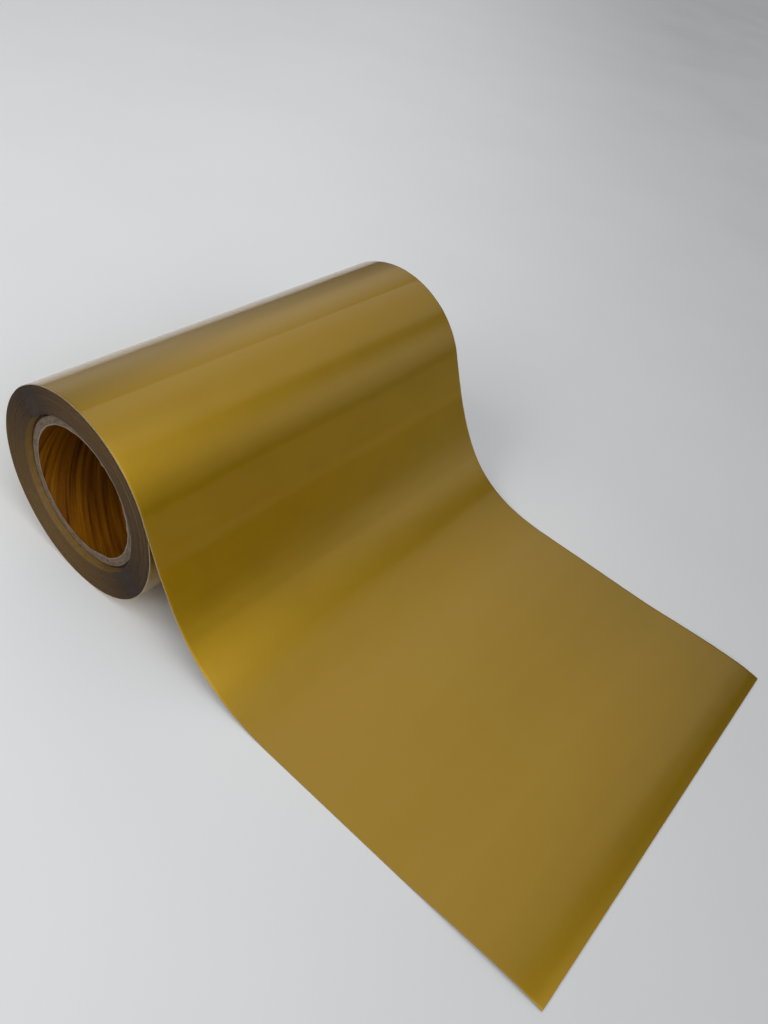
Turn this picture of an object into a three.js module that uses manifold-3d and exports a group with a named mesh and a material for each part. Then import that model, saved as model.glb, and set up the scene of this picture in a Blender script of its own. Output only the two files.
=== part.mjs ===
// A roll of sign vinyl: a metallic film with an adhesive on a release liner, wound on a
// spiral-wound paperboard core. The outer turn leaves the front of the roll, falls in an S-bend
// and lies flat as a leader. Millimetres, +Z up. The roll's axis runs along X and the leader runs
// towards -Y. The origin is at the bottom centre of the object's box.

import * as THREE from 'three';
import { mergeVertices } from 'three/addons/utils/BufferGeometryUtils.js';
import Module from 'manifold-3d';

// The web's layers, from the outside in. All are drawn thicker than the real sheets.
const WEB_WIDTH = 254;
const FILM_THICKNESS = 0.32;
const ADHESIVE_THICKNESS = 0.16;
const LINER_THICKNESS = 0.32;
const WEB_THICKNESS = FILM_THICKNESS + ADHESIVE_THICKNESS + LINER_THICKNESS;

// The roll and its core
const ROLL_RADIUS = 60.8;
const CORE_BORE_RADIUS = 38.1;
const CORE_WALL = 4.7;
const CORE_LENGTH = 254;
const CORE_RADIUS = CORE_BORE_RADIUS + CORE_WALL;

// The core's plies: each a strip wound in a spiral, edge to edge with itself
const CORE_PLIES = 6;
const PLY_GAP = 0.05;
const PLY_ADVANCE = 120;
const PLY_SEAM = 0.5;
const SEAM_STAGGER = 0.37;

// The wound web: a few thick turns in place of the many thin ones
const TURNS = 7;
const TURN_GAP = 0.2;
const RUNNING_CLEARANCE = 0.4;

// The tape between the core and the web's start
const TAPE_THICKNESS = 0.3;
const TAPE_CLEARANCE = 0.1;
const TAPE_STEPS = 3;

// How far the core and the turns have slipped along the axis, towards +X
const CORE_SLIP = 4.4;
const FIRST_TURN_SLIP = 5.4;
const DISH_SLIP = 1.3;
const SLIP_STEP_TURNS = 0.15;

// The outer turn and the leader. Angles are in degrees from the roll's top, towards the leader.
// Reaches are distances from the roll's axis towards the leader.
const LEAVING_ANGLE = 66;
const SEAM_ANGLE = 78;
const BEND_HANDLE = 58;
const LANDING_REACH = 156;
const FLAT_REACH = 230;
const END_REACH = 319;
const END_LIFT = 0.6;
const END_DROOP = 13;
const END_HANDLE = 20;

// Facets
const OUTER_TURN_STEP = 6;
const WOUND_STEP = 10;
const BEND_STEPS = 18;
const CURL_STEPS = 9;

const DEGREE = Math.PI / 180;
const AXIS_Y = (END_REACH - ROLL_RADIUS) / 2;
const AXIS_Z = ROLL_RADIUS;
const WEB_X = -FIRST_TURN_SLIP / 2;

const filmFinish = { color: 0xa8873a, roughness: 0.32, metalness: 0.85 };
const adhesiveFinish = { color: 0xcfc8b0, roughness: 0.25, metalness: 0 };
const linerFinish = { color: 0x86622f, roughness: 0.5, metalness: 0 };
const kraftFinish = { color: 0x6e3d14, roughness: 0.5, metalness: 0 };
const boardFinish = { color: 0x86776a, roughness: 0.9, metalness: 0 };
const tapeFinish = { color: 0xd9cba4, roughness: 0.6, metalness: 0 };

const wasm = await Module();
wasm.setup();

const roll = new THREE.Group();

function addPiece(name, geometry, finish) {
  const mesh = new THREE.Mesh(geometry, new THREE.MeshStandardMaterial(finish));
  mesh.name = name;
  roll.add(mesh);
}

// A place on a strip's outer surface, in the side view (y, z), with its outward normal and the
// distance that the strip is shifted along X there.
function station(y, z, normalY, normalZ, shift) {
  return { y, z, normalY, normalZ, shift };
}

function stationOnRoll(radius, angle, shift) {
  const sin = Math.sin(angle * DEGREE);
  const cos = Math.cos(angle * DEGREE);
  return station(AXIS_Y - radius * sin, AXIS_Z + radius * cos, -sin, cos, shift);
}

// A strip as a closed body, between two depths below its outer surface.
function stripGeometry(stations, nearDepth, farDepth, width = WEB_WIDTH) {
  const positions = [];
  for (const place of stations) {
    const left = WEB_X + place.shift - width / 2;
    const right = left + width;
    for (const [x, depth] of [
      [left, nearDepth],
      [right, nearDepth],
      [right, farDepth],
      [left, farDepth],
    ]) {
      positions.push(x, place.y - place.normalY * depth, place.z - place.normalZ * depth);
    }
  }
  const indices = [];
  const addQuad = (a, b, c, d) => indices.push(a, b, c, a, c, d);
  for (let i = 0; i < stations.length - 1; i++) {
    const here = 4 * i;
    const next = here + 4;
    for (let side = 0; side < 4; side++) {
      const other = (side + 1) % 4;
      addQuad(here + side, next + side, next + other, here + other);
    }
  }
  const last = 4 * (stations.length - 1);
  addQuad(0, 1, 2, 3);
  addQuad(last, last + 3, last + 2, last + 1);
  const geometry = new THREE.BufferGeometry();
  geometry.setAttribute('position', new THREE.Float32BufferAttribute(positions, 3));
  geometry.setIndex(indices);
  geometry.computeVertexNormals();
  return geometry;
}

function toSolid(geometry) {
  const bare = geometry.clone();
  bare.deleteAttribute('normal');
  bare.deleteAttribute('uv');
  const merged = mergeVertices(bare);
  return new wasm.Manifold(
    new wasm.Mesh({
      numProp: 3,
      vertProperties: new Float32Array(merged.attributes.position.array),
      triVerts: new Uint32Array(merged.index.array),
    }),
  );
}

function toGeometry(solid) {
  const mesh = solid.getMesh();
  const geometry = new THREE.BufferGeometry();
  geometry.setAttribute('position', new THREE.BufferAttribute(mesh.vertProperties, 3));
  geometry.setIndex(new THREE.BufferAttribute(mesh.triVerts, 1));
  geometry.computeVertexNormals();
  return geometry;
}

// A cubic curve in the side view, through (reach, height) points.
function sideCurve(...points) {
  const places = points.map(([reach, height]) => new THREE.Vector2(AXIS_Y - reach, height));
  return new THREE.CubicBezierCurve(...places);
}

function stationsAlong(curve, steps) {
  const stations = [];
  for (let i = 1; i <= steps; i++) {
    const point = curve.getPoint(i / steps);
    const tangent = curve.getTangent(i / steps);
    stations.push(station(point.x, point.y, tangent.y, -tangent.x, 0));
  }
  return stations;
}

// The outer turn, from the seam under the leaving web round to the front, then the S-bend down to
// the surface, the flat stretch and the free end's slight curl.
function outerTurnAndLeader() {
  const stations = [];
  for (let angle = SEAM_ANGLE - 360; angle <= LEAVING_ANGLE; angle += OUTER_TURN_STEP) {
    stations.push(stationOnRoll(ROLL_RADIUS, angle, 0));
  }
  const sin = Math.sin(LEAVING_ANGLE * DEGREE);
  const cos = Math.cos(LEAVING_ANGLE * DEGREE);
  const leaving = [ROLL_RADIUS * sin, AXIS_Z + ROLL_RADIUS * cos];
  const bend = sideCurve(
    leaving,
    [leaving[0] + BEND_HANDLE * cos, leaving[1] - BEND_HANDLE * sin],
    [LANDING_REACH - BEND_HANDLE, WEB_THICKNESS],
    [LANDING_REACH, WEB_THICKNESS],
  );
  const curlHandle = (END_REACH - FLAT_REACH) / 3;
  const endHeight = WEB_THICKNESS + END_LIFT;
  const curl = sideCurve(
    [FLAT_REACH, WEB_THICKNESS],
    [FLAT_REACH + curlHandle, WEB_THICKNESS],
    [END_REACH - END_HANDLE, endHeight + END_HANDLE * Math.tan(END_DROOP * DEGREE)],
    [END_REACH, endHeight],
  );
  stations.push(...stationsAlong(bend, BEND_STEPS));
  stations.push(station(AXIS_Y - FLAT_REACH, WEB_THICKNESS, 0, 1, 0));
  stations.push(...stationsAlong(curl, CURL_STEPS));
  return stations;
}

// The wound turns, from the start on the core out to the seam. Each turn is a film, an adhesive
// and a liner, with a gap after each.
const WOUND_START_RADIUS = CORE_RADIUS + TAPE_THICKNESS + 2 * TAPE_CLEARANCE;
const WOUND_END_RADIUS = ROLL_RADIUS - WEB_THICKNESS - RUNNING_CLEARANCE;
const WOUND_START_ANGLE = SEAM_ANGLE - 360 * (TURNS + 1);
const TURN_PITCH = (WOUND_END_RADIUS + TURN_GAP - WOUND_START_RADIUS) / (TURNS + 1);
const TURN_THICKNESS = TURN_PITCH - 3 * TURN_GAP;

// The first turn has slipped with the core. The turns outside it make a shallow dish.
function slipAtTurn(turn) {
  const step = THREE.MathUtils.smoothstep(turn, 1, 1 + SLIP_STEP_TURNS);
  const dish = DISH_SLIP * (1 - (turn - 1) / (TURNS - 1));
  return THREE.MathUtils.lerp(FIRST_TURN_SLIP, dish, step);
}

function woundTurns() {
  const stations = [];
  const steps = (TURNS * 360) / WOUND_STEP;
  for (let i = 0; i <= steps; i++) {
    const turn = (i * WOUND_STEP) / 360;
    const radius = WOUND_START_RADIUS + TURN_PITCH * (turn + 1) - TURN_GAP;
    stations.push(stationOnRoll(radius, WOUND_START_ANGLE + i * WOUND_STEP, slipAtTurn(turn)));
  }
  return stations;
}

function addWeb(prefix, stations, totalThickness, gap) {
  const layers = [
    ['film', FILM_THICKNESS, filmFinish],
    ['adhesive', ADHESIVE_THICKNESS, adhesiveFinish],
    ['liner', LINER_THICKNESS, linerFinish],
  ];
  let depth = 0;
  for (const [layer, drawnThickness, finish] of layers) {
    const thickness = (drawnThickness / WEB_THICKNESS) * totalThickness;
    addPiece(`${prefix}_${layer}`, stripGeometry(stations, depth, depth + thickness), finish);
    depth += thickness + gap;
  }
}

// The double-sided tape that holds the web's start on the core
function addStartTape() {
  const radius = CORE_RADIUS + TAPE_CLEARANCE + TAPE_THICKNESS;
  const stations = [];
  for (let i = 0; i <= TAPE_STEPS; i++) {
    stations.push(stationOnRoll(radius, WOUND_START_ANGLE + i * WOUND_STEP, CORE_SLIP));
  }
  addPiece('start_tape', stripGeometry(stations, 0, TAPE_THICKNESS), tapeFinish);
}

// One ply of the core: a spiral strip, cut square where the core ends. Each ply's seam lies at
// another place than the seam of the ply below.
function corePlyGeometry(ply, thickness) {
  const radius = CORE_BORE_RADIUS + ply * (thickness + PLY_GAP) + thickness;
  const width = PLY_ADVANCE - PLY_SEAM;
  const middle = CORE_SLIP + (ply * SEAM_STAGGER - 0.5) * PLY_ADVANCE;
  const halfSteps = Math.ceil((360 / WOUND_STEP) * (CORE_LENGTH / PLY_ADVANCE / 2 + 3));
  const stations = [];
  for (let i = -halfSteps; i <= halfSteps; i++) {
    const shift = middle + (PLY_ADVANCE * i * WOUND_STEP) / 360;
    if (Math.abs(shift - CORE_SLIP) < CORE_LENGTH / 2 + PLY_ADVANCE) {
      stations.push(stationOnRoll(radius, SEAM_ANGLE + i * WOUND_STEP, shift));
    }
  }
  const trim = new THREE.BoxGeometry(CORE_LENGTH, 4 * CORE_RADIUS, 4 * CORE_RADIUS);
  trim.translate(WEB_X + CORE_SLIP, AXIS_Y, AXIS_Z);
  return toGeometry(toSolid(stripGeometry(stations, 0, thickness, width)).intersect(toSolid(trim)));
}

function corePlyName(ply) {
  if (ply === 0) return 'core_inner_ply';
  if (ply === CORE_PLIES - 1) return 'core_outer_ply';
  return `core_body_ply_${ply}`;
}

function addCore() {
  const thickness = (CORE_WALL + PLY_GAP) / CORE_PLIES - PLY_GAP;
  for (let ply = 0; ply < CORE_PLIES; ply++) {
    const finish = ply === 0 ? kraftFinish : boardFinish;
    addPiece(corePlyName(ply), corePlyGeometry(ply, thickness), finish);
  }
}

addWeb('leader', outerTurnAndLeader(), WEB_THICKNESS, 0);
addWeb('wound', woundTurns(), TURN_THICKNESS, TURN_GAP);
addStartTape();
addCore();

export default roll;
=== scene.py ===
"""A roll of gold sign vinyl on a pale floor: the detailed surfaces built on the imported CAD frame."""

import math

import bmesh
import bpy
import numpy as np
from mathutils import Matrix, Vector


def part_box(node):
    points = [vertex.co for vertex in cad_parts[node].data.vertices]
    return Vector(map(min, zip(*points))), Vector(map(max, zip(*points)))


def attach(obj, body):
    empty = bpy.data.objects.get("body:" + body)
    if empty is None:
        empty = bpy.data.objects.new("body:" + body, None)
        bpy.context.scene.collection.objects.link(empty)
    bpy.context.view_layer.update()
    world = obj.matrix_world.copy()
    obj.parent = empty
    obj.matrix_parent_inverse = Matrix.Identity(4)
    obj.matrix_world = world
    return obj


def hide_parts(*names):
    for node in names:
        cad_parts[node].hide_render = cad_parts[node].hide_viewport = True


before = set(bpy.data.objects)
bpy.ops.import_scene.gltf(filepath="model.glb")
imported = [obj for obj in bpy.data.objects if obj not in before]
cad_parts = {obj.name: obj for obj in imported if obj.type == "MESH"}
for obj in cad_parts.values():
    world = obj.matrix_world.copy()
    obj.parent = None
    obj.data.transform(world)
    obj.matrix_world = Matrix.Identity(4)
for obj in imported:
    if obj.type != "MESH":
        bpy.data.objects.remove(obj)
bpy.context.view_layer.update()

MM = 0.001
FULL_TURN = 2 * math.pi
SHARP_ANGLE = math.radians(35)

# --- Sizes, in metres. The web's box and the core's boxes come from the frame. ---

LEADER_LOW, LEADER_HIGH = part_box("leader_film")
CORE_LOW, CORE_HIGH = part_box("core_inner_ply")
TAPE_LOW, TAPE_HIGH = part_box("start_tape")
ROLL_RADIUS = (LEADER_HIGH.z - LEADER_LOW.z) / 2
AXIS_Y = LEADER_HIGH.y - ROLL_RADIUS
AXIS_Z = ROLL_RADIUS
WEB_X = (LEADER_LOW.x + LEADER_HIGH.x) / 2
WEB_WIDTH = LEADER_HIGH.x - LEADER_LOW.x
INNER_PLY_THICKNESS = 0.74 * MM
CORE_BORE_RADIUS = (CORE_HIGH.z - AXIS_Z) - INNER_PLY_THICKNESS
CORE_RADIUS = 42.8 * MM

# The web's layers from the outside in: name, slot, depth of its outer face, depth of its inner
# face and how far its edges stand back from the liner's
LAYERS = [
    ("film", "metallic_film", 0, 0.10 * MM, 0.25 * MM),
    ("adhesive", "adhesive", 0.105 * MM, 0.13 * MM, 0.2 * MM),
    ("liner", "release_liner", 0.135 * MM, 0.27 * MM, 0),
]
WEB_THICKNESS = 0.27 * MM

# The web's edges turn down where the knife slit them
EDGE_CURL_WIDTH = 1.4 * MM
EDGE_CURL_DROP = 0.04 * MM

# The leader's side view, as distances from the roll's axis and angles from the roll's top
LEAVING_ANGLE = math.radians(66)
SEAM_ANGLE = math.radians(78)
LANDING_REACH = 156 * MM
FLAT_REACH = 230 * MM
END_REACH = AXIS_Y - LEADER_LOW.y
END_LIFT = 0.6 * MM
END_DROOP = math.radians(13)
END_HANDLE = 20 * MM
BEND_HANDLE = 58 * MM

# The wound turns. TURN_FILL is the share of each turn's pitch that the web fills
WOUND_START_RADIUS = 43.1 * MM
TURN_PITCH = 0.245 * MM
RUNNING_CLEARANCE = 0.08 * MM
FIRST_TURNS_RADIUS = 45.0 * MM
FIRST_TURNS_SLIP = 5.4 * MM
DISH_SLIP = 1.3 * MM
TURN_WANDER = 0.3 * MM
TURN_FILL = 0.97
STATIONS_A_TURN = 120

# How each turn's edge wanders: turns between two random knots, and size
FINE_WANDER = (0.4, 0.05 * MM)
SLOW_WANDER = (2.5, 0.12 * MM)

# The core's plies
PLY_NODES = [
    "core_inner_ply",
    "core_body_ply_1",
    "core_body_ply_2",
    "core_body_ply_3",
    "core_body_ply_4",
    "core_outer_ply",
]
PLY_GAP = 0.03 * MM
PLY_SEAM = 0.5 * MM
PLY_ADVANCE = 120 * MM
SEAM_STAGGER = 0.37

# The tape that holds the web's start. TAPE_LIFT is how far its outer face is off the core
TAPE_SPAN = math.radians(27)
TAPE_THICKNESS = 0.1 * MM
TAPE_LIFT = 0.15 * MM

# The waves in the web: length and amplitude. Across the web their crests lean to and fro, over
# WAVE_LEAN_LENGTH
WAVES = [
    (9 * MM, 0.010 * MM),
    (14 * MM, 0.015 * MM),
    (23 * MM, 0.020 * MM),
    (41 * MM, 0.030 * MM),
    (70 * MM, 0.040 * MM),
]
WAVE_LEAN_LENGTH = 140 * MM

# The floor lies just under the web. Painted shade darkens it one way in two steps: start, end and
# share
FLOOR_CORNERS = (-4, -4), (4, 4)
FLOOR_DROP = 0.05 * MM
FLOOR_PAINTED_SHADE_TOWARD = (0.51, -0.86, 0)
FLOOR_PAINTED_SHADE_STEPS = [
    (-0.3, 0.4, 0.5),
    (0.7, 1.2, 0.5),
]

# The world's light: its colour, and its strength between the soft patches
WORLD_COLOR = (0.98, 0.99, 1.0, 1)
AMBIENT = 0.015

# Soft patches of light round the scene: azimuth from +X, elevation, tightness and strength
SOFT_LIGHTS = [
    (-105, 58, 20, 3.7),
    (-105, 30, 20, 4.4),
    (180, 30, 20, 1.6),
    (45, 62, 24, 0.2),
    (42, 33, 24, 0.6),
    (65, 14, 24, 0.43),
    (-55, 52, 24, 0.22),
    (-42, 22, 32, 0.43),
]

# Square lights aimed at the frame's origin: name, place, size and watts
SQUARE_LIGHTS = [
    ("softbox", (-0.9, 0.9, 1.3), 0.7, 5.5),
    ("side_fill", (-1.2, 0.3, 0.8), 0.6, 3.2),
]

# The panel overhead, which faces down. PANEL_FADE is the share of its depth that fades out
# towards -Y
PANEL_PLACE = (0.75, 0.025, 1.05)
PANEL_WIDTH = 1.5
PANEL_DEPTH = 1.15
PANEL_WATTS = 2.15
PANEL_TURN = math.radians(-9)
PANEL_FADE = 0.35

# The torn fibres round the bore's ends: how far they stand off the core's end, sink into it and
# overlap it behind the bore, then their least reach, and the tufts and flaps along them
BURR_OUTSIDE = 0.14 * MM
BURR_SUNK = 0.02 * MM
BURR_ROOT = 0.5 * MM
BURR_LEAST_REACH = 0.12 * MM
TUFT_SPACING = 2.2 * MM
TUFT_REACH = 0.35 * MM
FLAP_SPACING = 9 * MM
FLAP_REACH = 0.6 * MM

# The tufts and flaps fade out at the roll's top, where the ring of fibres joins, over BURR_JOIN
# either side
BURR_JOIN = 0.1

# The larger frayed flaps at the core's left end: angle from the roll's top, reach, half width
TORN_FLAPS = [
    (math.radians(158), 2.1 * MM, math.radians(10)),
    (math.radians(186), 1.5 * MM, math.radians(8)),
]

# The camera, at the photograph's place
CAMERA_AT = Vector((-310.2, -160.3, 377.1)) * MM
CAMERA_HEADING = math.radians(30.72)
CAMERA_PITCH = math.radians(-41.92)
CAMERA_ROLL = math.radians(14.71)
CAMERA_LENS = 29.73


# --- Side view: stations along a path, as points and outward normals in (y, z) ---


def on_roll(radius, angle):
    """Points and outward normals at these radii and angles from the roll's top."""
    normal = np.stack([-np.sin(angle), np.cos(angle)], axis=1)
    centre = np.array([AXIS_Y, AXIS_Z])
    return centre + normal * np.reshape(radius, (-1, 1)), normal


def bezier(points, steps):
    """Points and upward normals along a cubic curve of (reach, height) points, first left out."""
    p0, p1, p2, p3 = (np.array([AXIS_Y - reach, height]) for reach, height in points)
    t = np.linspace(0, 1, steps + 1)[1:, None]
    place = (1 - t) ** 3 * p0 + 3 * (1 - t) ** 2 * t * p1 + 3 * (1 - t) * t**2 * p2 + t**3 * p3
    slope = (1 - t) ** 2 * (p1 - p0) + 2 * (1 - t) * t * (p2 - p1) + t**2 * (p3 - p2)
    slope /= np.linalg.norm(slope, axis=1, keepdims=True)
    return place, np.stack([slope[:, 1], -slope[:, 0]], axis=1)


def leader_path():
    """The outer turn, the S-bend, the flat stretch and the free end, on the film's face."""
    turn_angle = np.linspace(SEAM_ANGLE - FULL_TURN, LEAVING_ANGLE, 260)
    turn = on_roll(ROLL_RADIUS, turn_angle)
    leaving = np.array([ROLL_RADIUS * math.sin(LEAVING_ANGLE), turn[0][-1, 1]])
    down = np.array([math.cos(LEAVING_ANGLE), -math.sin(LEAVING_ANGLE)])
    bend_points = [
        leaving,
        leaving + BEND_HANDLE * down,
        (LANDING_REACH - BEND_HANDLE, WEB_THICKNESS),
        (LANDING_REACH, WEB_THICKNESS),
    ]
    third = (FLAT_REACH - LANDING_REACH) / 3
    flat_points = [(LANDING_REACH + k * third, WEB_THICKNESS) for k in range(4)]
    handle = (END_REACH - FLAT_REACH) / 3
    end_height = WEB_THICKNESS + END_LIFT
    curl_points = [
        (FLAT_REACH, WEB_THICKNESS),
        (FLAT_REACH + handle, WEB_THICKNESS),
        (END_REACH - END_HANDLE, end_height + END_HANDLE * math.tan(END_DROOP)),
        (END_REACH, end_height),
    ]
    parts = [turn, bezier(bend_points, 110), bezier(flat_points, 40), bezier(curl_points, 60)]
    return np.concatenate([p[0] for p in parts]), np.concatenate([p[1] for p in parts])


def path_lengths(path):
    """How far along the path each station lies."""
    steps = np.linalg.norm(np.diff(path[0], axis=0), axis=1)
    return np.concatenate([[0], np.cumsum(steps)])


def smooth_noise(rng, at, spacing, size):
    """A soft random line through knots this far apart, read at these places."""
    knots = rng.normal(0, size, int(at.max() / spacing) + 4)
    where = at / spacing
    low = np.floor(where).astype(int)
    t = where - low
    t = t * t * (3 - 2 * t)
    return knots[low] * (1 - t) + knots[low + 1] * t


# --- Meshes ---


def make_object(name, points, faces, materials, face_materials, place):
    """A smooth-shaded object. place is each point's spot on the sheet, for its material."""
    mesh = bpy.data.meshes.new(name)
    mesh.from_pydata(points.tolist(), [], faces.tolist())
    for material in materials:
        mesh.materials.append(material)
    mesh.polygons.foreach_set("material_index", face_materials.astype(np.int32))
    mesh.polygons.foreach_set("use_smooth", np.ones(len(mesh.polygons), bool))
    attribute = mesh.attributes.new("place", "FLOAT_VECTOR", "POINT")
    attribute.data.foreach_set("vector", place.astype(np.float32).ravel())
    mesh.set_sharp_from_angle(angle=SHARP_ANGLE)
    mesh.update()
    obj = bpy.data.objects.new(name, mesh)
    bpy.context.scene.collection.objects.link(obj)
    return obj


def quads(a, b, c, d):
    return np.stack([np.ravel(a), np.ravel(b), np.ravel(c), np.ravel(d)], axis=1)


def strip(name, near, far, place, face, edge, ring=False):
    """A closed thin body between two grids of points, near and far, of stations and columns.

    A ring's last station joins its first. place has one spot for each point of a grid."""
    stations, columns = near.shape[:2]
    points = np.concatenate([near.reshape(-1, 3), far.reshape(-1, 3)])
    top, under = np.arange(len(points)).reshape(2, stations, columns)
    if ring:
        top, under = (np.concatenate([grid, grid[:1]]) for grid in (top, under))
    faces = [
        quads(top[:-1, :-1], top[1:, :-1], top[1:, 1:], top[:-1, 1:]),
        quads(under[:-1, :-1], under[:-1, 1:], under[1:, 1:], under[1:, :-1]),
        quads(top[:-1, 0], under[:-1, 0], under[1:, 0], top[1:, 0]),
        quads(top[:-1, -1], top[1:, -1], under[1:, -1], under[:-1, -1]),
    ]
    if not ring:
        faces += [
            quads(top[0, :-1], top[0, 1:], under[0, 1:], under[0, :-1]),
            quads(top[-1, :-1], under[-1, :-1], under[-1, 1:], top[-1, 1:]),
        ]
    sheet_faces = len(faces[0]) + len(faces[1])
    faces = np.concatenate(faces)
    spots = np.concatenate([place.reshape(-1, 3)] * 2)
    return make_object(
        name, points, faces, [face, edge], np.arange(len(faces)) >= sheet_faces, spots
    )


def band(name, path, near, far, left, right, across, face, edge, lift=0.0):
    """A closed strip between two depths under a path, from left to right along X.

    left and right are numbers, or one number for each station. across runs from 0 to 1. lift is
    the height that the strip stands off its path at each station and column."""
    centre, normal = path
    left = np.broadcast_to(left, len(centre))[:, None]
    right = np.broadcast_to(right, len(centre))[:, None]
    x = left + (right - left) * across
    from_left = x - left
    radius = np.hypot(centre[:, 0] - AXIS_Y, centre[:, 1] - AXIS_Z)
    along = path_lengths(path)
    place = np.stack(np.broadcast_arrays(from_left, along[:, None], radius[:, None]), axis=2)
    grids = []
    for depth in (near, far):
        offset = np.broadcast_to(lift - depth, x.shape)[:, :, None]
        side = centre[:, None, :] + normal[:, None, :] * offset
        grids.append(np.concatenate([x[:, :, None], side], axis=2))
    return strip(name, grids[0], grids[1], place, face, edge)


# --- Materials: procedural, in metres on the sheet's own spots ---


def add_node(tree, kind, inputs, **settings):
    node = tree.nodes.new("ShaderNode" + kind)
    for name, value in settings.items():
        setattr(node, name, value)
    for name, value in inputs.items():
        if isinstance(value, bpy.types.NodeSocket):
            tree.links.new(value, node.inputs[name])
        else:
            node.inputs[name].default_value = value
    return node


def new_material(name, constants):
    """A material, its tree and its shader, with these constants on the shader's own sockets."""
    material = bpy.data.materials.new(name)
    material.use_nodes = True
    shader = material.node_tree.nodes["Principled BSDF"]
    for socket, value in constants.items():
        shader.inputs[socket].default_value = value
    return material, material.node_tree, shader


def sheet_spot(tree, stretch=(1, 1, 1)):
    """The spot on the sheet: across, along and distance from the axis, each times its stretch."""
    spot = add_node(tree, "Attribute", {}, attribute_name="place")
    scaled = {0: spot.outputs["Vector"], 1: stretch}
    return add_node(tree, "VectorMath", scaled, operation="MULTIPLY").outputs[0]


def noise(tree, spot, size, detail=2.0, roughness=0.5):
    """Cloudy noise with lumps of about this size, from 0 to 1."""
    inputs = {"Vector": spot, "Scale": 1 / size, "Detail": detail, "Roughness": roughness}
    return add_node(tree, "TexNoise", inputs).outputs["Fac"]


def ramp(tree, value, stops):
    """A colour that goes through these (position, colour) stops."""
    node = add_node(tree, "ValToRGB", {"Fac": value})
    elements = node.color_ramp.elements
    while len(elements) < len(stops):
        elements.new(0.5)
    for element, (position, color) in zip(elements, stops):
        element.position = position
        element.color = (*color, 1)
    return node.outputs["Color"]


def spread(tree, value, low, high):
    """Noise, which keeps to the middle of 0 to 1, spread from low to high."""
    inputs = {"Value": value, 1: 0.3, 2: 0.7, 3: low, 4: high}
    return add_node(tree, "MapRange", inputs).outputs[0]


def total(tree, first, second, share):
    """The first value plus a share of the second."""
    inputs = {0: second, 1: share, 2: first}
    return add_node(tree, "Math", inputs, operation="MULTIPLY_ADD").outputs[0]


def bump(tree, height, distance, strength=1.0):
    inputs = {"Height": height, "Distance": distance, "Strength": strength}
    return add_node(tree, "Bump", inputs).outputs["Normal"]


def finish(tree, shader, color, roughness, normal=None):
    tree.links.new(color, shader.inputs["Base Color"])
    tree.links.new(roughness, shader.inputs["Roughness"])
    if normal is not None:
        tree.links.new(normal, shader.inputs["Normal"])


def gold_film_material():
    """A metallic satin layer with fine flakes, under a smooth clear face."""
    material, tree, shader = new_material("gold_film", {
        "Metallic": 1.0,
        "Coat Weight": 1.0,
        "Coat Roughness": 0.05,
        "Coat IOR": 1.57,
    })
    clouds = noise(tree, sheet_spot(tree), 22 * MM, 3)
    streaks = noise(tree, sheet_spot(tree, (1, 0.02, 0)), 1.5 * MM)
    flakes = noise(tree, sheet_spot(tree), 0.25 * MM, 1)
    mottle = total(tree, clouds, streaks, 0.35)
    tint = total(tree, mottle, flakes, 0.5)
    color = ramp(tree, tint, [(0.55, (0.545, 0.318, 0.0065)), (1.0, (0.560, 0.328, 0.0085))])
    roughness = spread(tree, mottle, 0.37, 0.39)
    finish(tree, shader, color, roughness, bump(tree, flakes, 0.004 * MM, 0.5))
    return material


def adhesive_material():
    """Clear tacky acrylic, slightly yellow, with small bubbles and dust."""
    material, tree, shader = new_material("clear_adhesive", {"Specular IOR Level": 0.5})
    specks = noise(tree, sheet_spot(tree), 0.8 * MM, 3)
    color = ramp(tree, specks, [(0.35, (0.45, 0.40, 0.28)), (0.65, (0.62, 0.57, 0.44))])
    finish(tree, shader, color, spread(tree, specks, 0.15, 0.35), bump(tree, specks, 0.01 * MM))
    return material


def liner_material():
    """Golden-brown glassine: cloudy paper with fine fibres, slightly shiny."""
    material, tree, shader = new_material("liner_paper", {"Specular IOR Level": 0.4})
    clouds = noise(tree, sheet_spot(tree), 3.5 * MM, 4, 0.6)
    fibres = noise(tree, sheet_spot(tree, (1, 0.25, 1)), 0.4 * MM, 2)
    tint = total(tree, clouds, fibres, 0.4)
    color = ramp(tree, tint, [(0.4, (0.13, 0.073, 0.017)), (1.0, (0.225, 0.132, 0.035))])
    height = total(tree, fibres, clouds, 0.5)
    finish(tree, shader, color, spread(tree, clouds, 0.42, 0.58), bump(tree, height, 0.02 * MM))
    return material


def cut_edge_material(name, dark, light, roughness):
    """A slit edge of the web. On the roll's ends its tone changes from turn to turn."""
    material, tree, shader = new_material(name, {"Specular IOR Level": 0.3})
    turns = noise(tree, sheet_spot(tree, (0, 0.004, 1)), 0.9 * MM, 4, 0.7)
    specks = noise(tree, sheet_spot(tree, (1, 1, 1)), 1.8 * MM, 3)
    tint = total(tree, turns, specks, 0.4)
    color = ramp(tree, tint, [(0.52, dark), (0.88, light)])
    finish(tree, shader, color, spread(tree, specks, roughness - 0.08, roughness + 0.08))
    return material


def kraft_material():
    """The bore's shiny brown paper, with dark streaks that run round the bore."""
    material, tree, shader = new_material("core_kraft_paper", {"Specular IOR Level": 0.3})
    streaks = noise(tree, sheet_spot(tree, (1, 0.035, 0)), 2.6 * MM, 3, 0.55)
    broad = noise(tree, sheet_spot(tree, (1, 0.15, 0)), 16 * MM, 2)
    fibres = noise(tree, sheet_spot(tree, (1, 0.2, 1)), 0.5 * MM, 2)
    tint = total(tree, total(tree, streaks, broad, 0.35), fibres, 0.15)
    color = ramp(tree, tint, [
        (0.52, (0.030, 0.007, 0.0004)),
        (0.72, (0.13, 0.042, 0.0012)),
        (0.92, (0.24, 0.092, 0.003)),
    ])
    height = total(tree, streaks, fibres, 0.2)
    finish(tree, shader, color, spread(tree, streaks, 0.36, 0.26), bump(tree, height, 0.12 * MM))
    return material


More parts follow.
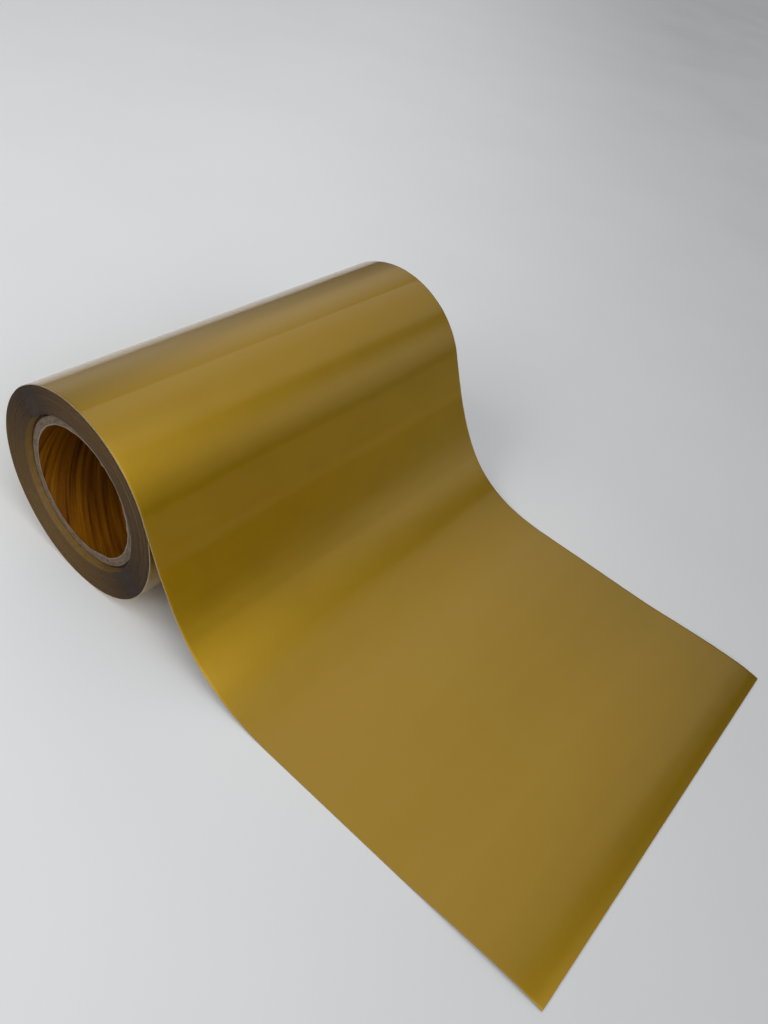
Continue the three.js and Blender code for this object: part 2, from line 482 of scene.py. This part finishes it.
def board_material(name, dark, light):
    """Grey-brown paperboard, rough and fibrous."""
    material, tree, shader = new_material(name, {"Specular IOR Level": 0.2})
    fibres = noise(tree, sheet_spot(tree, (1, 0.3, 1)), 0.35 * MM, 4, 0.65)
    clouds = noise(tree, sheet_spot(tree), 5 * MM, 3)
    tint = total(tree, fibres, clouds, 0.6)
    color = ramp(tree, tint, [(0.6, dark), (0.95, light)])
    height = total(tree, fibres, clouds, 0.5)
    finish(tree, shader, color, spread(tree, fibres, 0.85, 0.95), bump(tree, height, 0.15 * MM))
    return material


def tape_material():
    """Pale yellow tape with the weave of its scrim."""
    material, tree, shader = new_material("tape_scrim", {"Specular IOR Level": 0.4})
    across = add_node(tree, "TexWave", {"Vector": sheet_spot(tree), "Scale": 250.0})
    along = add_node(
        tree, "TexWave", {"Vector": sheet_spot(tree), "Scale": 250.0}, bands_direction="Y"
    )
    weave = total(tree, across.outputs["Fac"], along.outputs["Fac"], 1.0)
    color = ramp(tree, weave, [(0.2, (0.52, 0.45, 0.28)), (1.0, (0.72, 0.65, 0.45))])
    finish(tree, shader, color, spread(tree, weave, 0.65, 0.45), bump(tree, weave, 0.03 * MM))
    return material


def floor_material():
    """A plain pale sheet with a very soft grain; painted shade makes it darker towards the near right
    and far there.
    """
    material, tree, shader = new_material("pale_floor_painted_shade", {"Specular IOR Level": 0.3})
    texture = add_node(tree, "TexCoord", {}).outputs["Object"]
    grain = spread(tree, noise(tree, texture, 160 * MM, 2), 0, 0.04)
    painted_shade_way = {0: texture, 1: FLOOR_PAINTED_SHADE_TOWARD}
    across = add_node(tree, "VectorMath", painted_shade_way, operation="DOT_PRODUCT").outputs["Value"]
    # Painted shade: two smooth steps across the floor darken its colour, the second far out almost to
    # black
    tint = grain
    for start, end, share in FLOOR_PAINTED_SHADE_STEPS:
        shade = add_node(
            tree, "MapRange", {"Value": across, 1: start, 2: end},
            interpolation_type="SMOOTHSTEP",
        ).outputs[0]
        tint = total(tree, tint, shade, share)
    color = ramp(tree, tint, [
        (0.0, (0.785, 0.79, 0.795)),
        (0.5, (0.56, 0.565, 0.57)),
        (1.0, (0.08, 0.08, 0.08)),
    ])
    roughness = add_node(tree, "Math", {0: grain, 1: 0.6}, operation="ADD").outputs[0]
    finish(tree, shader, color, roughness)
    return material


# --- The pieces ---


def put(obj, body, slot, *nodes):
    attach(obj, body)
    if nodes:
        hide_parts(*nodes)
    return obj


def web_columns():
    """Places across the web from 0 to 1, close together at its edges."""
    edge = np.linspace(0, EDGE_CURL_WIDTH, 7)[:-1] / WEB_WIDTH
    middle = np.linspace(EDGE_CURL_WIDTH, WEB_WIDTH - EDGE_CURL_WIDTH, 49) / WEB_WIDTH
    return np.concatenate([edge, middle, 1 - edge[::-1]])


def web_lift(path, across):
    """How far the web stands off its path: its slit edges turned down and a faint waviness."""
    from_edge = np.minimum(across, 1 - across) * WEB_WIDTH
    curl = np.clip(1 - from_edge / EDGE_CURL_WIDTH, 0, 1) ** 2
    along = path_lengths(path)[:, None]
    x = across * WEB_WIDTH
    rng = np.random.default_rng(5)
    wave = np.zeros((len(along), len(across)))
    for length, size in WAVES:
        start, drift = rng.uniform(0, FULL_TURN, 2)
        lean = rng.uniform(-1, 1) * np.sin(FULL_TURN * x / WAVE_LEAN_LENGTH + drift)
        wave += size * np.sin(FULL_TURN * along / length + start + lean)
    return wave + EDGE_CURL_DROP * (1 - curl)


def make_leader(faces, edges):
    path = leader_path()
    across = web_columns()
    lift = web_lift(path, across)
    for layer, slot, near, far, set_back in LAYERS:
        sheet = band(
            "leader_sheet_" + layer, path, near, far, LEADER_LOW.x + set_back,
            LEADER_HIGH.x - set_back, across, faces[layer], edges[layer], lift,
        )
        put(sheet, "web", slot, "leader_" + layer)


def wound_slip(turn, radius):
    """How far the wound web has slipped along the axis, with the wander of each turn."""
    rng = np.random.default_rng(11)
    spread_out = (ROLL_RADIUS - radius) / (ROLL_RADIUS - FIRST_TURNS_RADIUS)
    dish = DISH_SLIP * np.clip(spread_out, 0, 1)
    step = np.clip((FIRST_TURNS_RADIUS - radius) / TURN_PITCH, 0, 1)
    slip = dish + (FIRST_TURNS_SLIP - TURN_WANDER - dish) * step
    fine = smooth_noise(rng, turn, *FINE_WANDER)
    slow = smooth_noise(rng, turn, *SLOW_WANDER)
    return slip + np.clip(fine + slow, -TURN_WANDER, TURN_WANDER)


def make_wound(faces, edges):
    outer = ROLL_RADIUS - WEB_THICKNESS - RUNNING_CLEARANCE
    turns = round((outer - WOUND_START_RADIUS) / TURN_PITCH) - 1
    pitch = (outer - WOUND_START_RADIUS) / (turns + 1)
    turn = np.linspace(0, turns, turns * STATIONS_A_TURN)
    radius = WOUND_START_RADIUS + pitch * (turn + 1)
    path = on_roll(radius, SEAM_ANGLE + FULL_TURN * turn)
    slip = wound_slip(turn, radius)
    squeeze = TURN_FILL * pitch / WEB_THICKNESS
    for layer, slot, near, far, set_back in LAYERS:
        half = WEB_WIDTH / 2 - set_back
        sheet = band(
            "wound_sheet_" + layer, path, near * squeeze, far * squeeze, WEB_X + slip - half,
            WEB_X + slip + half, np.array([0, 1]), faces[layer], edges[layer],
        )
        put(sheet, "roll", slot, "wound_" + layer)


def make_ply(order, face, edge):
    """One spiral-wound ply: a strip with a butt seam, cut square at the core's ends."""
    pitch = (CORE_RADIUS - CORE_BORE_RADIUS + PLY_GAP) / len(PLY_NODES)
    outer = CORE_BORE_RADIUS + (order + 1) * pitch - PLY_GAP
    middle = (CORE_LOW.x + CORE_HIGH.x) / 2 + (order * SEAM_STAGGER - 0.5) * PLY_ADVANCE
    reach = math.ceil((CORE_HIGH.x - CORE_LOW.x) / PLY_ADVANCE / 2 + 3)
    turn = np.linspace(-reach, reach, reach * 360 + 1)
    start = middle + PLY_ADVANCE * (turn - 0.5) + PLY_SEAM / 2
    used = (start < CORE_HIGH.x) & (start + PLY_ADVANCE > CORE_LOW.x)
    path = on_roll(np.full(used.sum(), outer), SEAM_ANGLE + FULL_TURN * turn[used])
    obj = band(
        PLY_NODES[order].replace("core_", "core_spiral_"), path, 0, pitch - PLY_GAP,
        start[used], start[used] + PLY_ADVANCE - PLY_SEAM, np.array([0, 1]), face, edge,
    )
    cut_square(obj.data, CORE_LOW.x, CORE_HIGH.x)
    return put(obj, "roll", "core_kraft" if order == 0 else "core_board", PLY_NODES[order])


def cut_square(mesh, low, high):
    """Cuts a mesh at two planes across X and caps the cuts with its second material."""
    work = bmesh.new()
    work.from_mesh(mesh)
    for x, side in ((low, -1), (high, 1)):
        everything = work.verts[:] + work.edges[:] + work.faces[:]
        cut = bmesh.ops.bisect_plane(
            work, geom=everything, plane_co=(x, 0, 0), plane_no=(side, 0, 0), clear_outer=True
        )
        rim = [e for e in cut["geom_cut"] if isinstance(e, bmesh.types.BMEdge)]
        made = bmesh.ops.contextual_create(work, geom=rim)
        for face in made["faces"]:
            face.material_index = 1
            face.smooth = False
    bmesh.ops.recalc_face_normals(work, faces=work.faces[:])
    work.to_mesh(mesh)
    work.free()
    mesh.set_sharp_from_angle(angle=SHARP_ANGLE)


def make_burr(name, x, side, seed, board, torn=()):
    """The torn fibres that the saw left round the bore, at one end of the core.

    torn has the angle, the reach and the half width of each larger flap."""
    rng = np.random.default_rng(seed)
    stations = 720
    angle = np.linspace(0, FULL_TURN, stations, endpoint=False)
    arc = angle * CORE_BORE_RADIUS
    tufts = np.clip(smooth_noise(rng, arc, TUFT_SPACING, 0.5), 0, None)
    flaps = np.clip(smooth_noise(rng, arc, FLAP_SPACING, 0.5), 0, None)
    fade = np.clip(np.minimum(angle, FULL_TURN - angle) / BURR_JOIN, 0, 1)
    reach = BURR_LEAST_REACH + (TUFT_REACH * tufts + FLAP_REACH * flaps) * fade
    for middle, size, half_width in torn:
        shape = np.clip(1 - np.abs(angle - middle) / half_width, 0, 1)
        reach += size * np.sqrt(shape) * (0.75 + 0.5 * tufts)
    share = np.linspace(1, 0, 5) if side < 0 else np.linspace(0, 1, 5)
    radius = CORE_BORE_RADIUS + BURR_ROOT - (BURR_ROOT + reach[:, None]) * share
    unit = np.stack([0 * angle, -np.sin(angle), np.cos(angle)], axis=1)[:, None, :]
    centre = np.array([0, AXIS_Y, AXIS_Z])
    curl = 0.5 * reach[:, None] * share**2
    grids = []
    for depth in (BURR_OUTSIDE, -BURR_SUNK):
        offset = x + side * (depth + curl)
        grids.append(centre + unit * radius[:, :, None] + offset[:, :, None] * [1, 0, 0])
    place = np.stack(np.broadcast_arrays(radius, arc[:, None], radius), axis=2)
    obj = strip(name, grids[0], grids[1], place, board, board, ring=True)
    return put(obj, "roll", "core_board")


def make_tape(material):
    angle = np.linspace(SEAM_ANGLE, SEAM_ANGLE + TAPE_SPAN, 24)
    path = on_roll(np.full(len(angle), CORE_RADIUS + TAPE_LIFT), angle)
    obj = band(
        "core_start_tape", path, 0, TAPE_THICKNESS, TAPE_LOW.x, TAPE_HIGH.x,
        np.array([0, 1]), material, material,
    )
    put(obj, "roll", "start_tape", "start_tape")


# --- Stage: floor, light and camera ---


def make_floor():
    (left, near), (right, far) = FLOOR_CORNERS
    mesh = bpy.data.meshes.new("floor")
    corners = [(left, near, 0), (right, near, 0), (right, far, 0), (left, far, 0)]
    mesh.from_pydata(corners, [], [(0, 1, 2, 3)])
    mesh.materials.append(floor_material())
    floor = bpy.data.objects.new("floor", mesh)
    bpy.context.scene.collection.objects.link(floor)
    floor.location.z = -FLOOR_DROP


def make_light():
    """Soft patches of light, brightest at the near right, two square lights and the panel."""
    world = bpy.data.worlds.new("studio")
    bpy.context.scene.world = world
    world.use_nodes = True
    tree = world.node_tree
    ray = add_node(tree, "TexCoord", {}).outputs["Generated"]
    light = add_node(tree, "Value", {}).outputs[0]
    light.default_value = AMBIENT
    for azimuth, elevation, tightness, strength in SOFT_LIGHTS:
        level = math.cos(math.radians(elevation))
        toward = (
            level * math.cos(math.radians(azimuth)),
            level * math.sin(math.radians(azimuth)),
            math.sin(math.radians(elevation)),
        )
        facing = add_node(tree, "VectorMath", {0: ray, 1: toward}, operation="DOT_PRODUCT")
        ahead = add_node(tree, "Math", {0: facing.outputs["Value"], 1: 0}, operation="MAXIMUM")
        patch = add_node(tree, "Math", {0: ahead.outputs[0], 1: tightness}, operation="POWER")
        light = total(tree, light, patch.outputs[0], strength)
    background = tree.nodes["Background"]
    background.inputs["Color"].default_value = WORLD_COLOR
    tree.links.new(light, background.inputs["Strength"])
    for name, place, size, watts in SQUARE_LIGHTS:
        add_area(name, place, (0, 0, 0), size, watts)
    panel = add_area("panel", PANEL_PLACE, (*PANEL_PLACE[:2], 0), PANEL_WIDTH, PANEL_WATTS)
    panel.data.shape = "RECTANGLE"
    panel.data.size_y = PANEL_DEPTH
    panel.rotation_euler = (0, 0, PANEL_TURN)
    soften_edge(panel.data, PANEL_FADE)


def soften_edge(light, share):
    """Fades an area light in from its own -Y edge, over this share of its depth."""
    light.use_nodes = True
    tree = light.node_tree
    spot = add_node(tree, "NewGeometry", {}).outputs["Parametric"]
    depth = add_node(tree, "SeparateXYZ", {"Vector": spot}).outputs["Y"]
    level = add_node(
        tree, "MapRange", {"Value": depth, 1: 0, 2: share}, interpolation_type="SMOOTHSTEP"
    ).outputs[0]
    tree.links.new(level, tree.nodes["Emission"].inputs["Strength"])


def add_area(name, place, target, size, watts):
    light = bpy.data.lights.new(name, "AREA")
    light.size = size
    light.energy = watts
    obj = bpy.data.objects.new(name, light)
    obj.location = place
    obj.rotation_euler = (Vector(target) - Vector(place)).to_track_quat("-Z", "Y").to_euler()
    bpy.context.scene.collection.objects.link(obj)
    return obj


def make_camera():
    cos_pitch = math.cos(CAMERA_PITCH)
    ahead = Vector((
        math.cos(CAMERA_HEADING) * cos_pitch,
        math.sin(CAMERA_HEADING) * cos_pitch,
        math.sin(CAMERA_PITCH),
    ))
    level_right = ahead.cross(Vector((0, 0, 1))).normalized()
    level_up = level_right.cross(ahead)
    cos_roll, sin_roll = math.cos(CAMERA_ROLL), math.sin(CAMERA_ROLL)
    right = cos_roll * level_right + sin_roll * level_up
    up = cos_roll * level_up - sin_roll * level_right
    data = bpy.data.cameras.new("camera")
    data.lens = CAMERA_LENS
    data.clip_start = 0.01
    camera = bpy.data.objects.new("camera", data)
    camera.matrix_world = Matrix((right, up, -ahead)).transposed().to_4x4()
    camera.location = CAMERA_AT
    bpy.context.scene.collection.objects.link(camera)
    bpy.context.scene.camera = camera


make_camera()
make_floor()
make_light()
bpy.context.scene.view_settings.view_transform = "Standard"

BOARD = board_material("core_paperboard", (0.075, 0.052, 0.036), (0.20, 0.148, 0.104))
TORN_BOARD = board_material("torn_paperboard", (0.13, 0.098, 0.070), (0.28, 0.225, 0.170))
FACES = {
    "film": gold_film_material(),
    "adhesive": adhesive_material(),
    "liner": liner_material(),
}
LEADER_EDGES = {
    "film": cut_edge_material("film_edge", (0.22, 0.14, 0.03), (0.34, 0.23, 0.05), 0.4),
    "adhesive": FACES["adhesive"],
    # The liner's cut edge is much paler than the liner: partly lighter fibres at the cut, partly a
    # painted highlight where the edge catches the light
    "liner": cut_edge_material(
        "liner_edge", (0.62, 0.54, 0.38), (0.74, 0.66, 0.48), 0.8
    ),
}
# The wound turns' cut edges on the roll's ends: partly their own dark brown, partly painted shade
# between the turns, many times darker than the same edges on the leader
WOUND_EDGES_PAINTED_SHADE = {
    "film": cut_edge_material(
        "wound_film_edge_painted_shade", (0.011, 0.006, 0.004), (0.054, 0.034, 0.027), 0.5
    ),
    "adhesive": cut_edge_material(
        "glue_edge_painted_shade", (0.022, 0.0145, 0.012), (0.06, 0.042, 0.036), 0.6
    ),
    "liner": cut_edge_material(
        "wound_liner_edge_painted_shade", (0.013, 0.007, 0.005), (0.066, 0.043, 0.035), 0.8
    ),
}

make_leader(FACES, LEADER_EDGES)
make_wound(FACES, WOUND_EDGES_PAINTED_SHADE)
make_ply(0, kraft_material(), BOARD)
for ply_order in range(1, len(PLY_NODES)):
    make_ply(ply_order, BOARD, BOARD)
make_burr("core_burr_left", CORE_LOW.x, -1, 3, TORN_BOARD, TORN_FLAPS)
make_burr("core_burr_right", CORE_HIGH.x, 1, 4, TORN_BOARD)
make_tape(tape_material())
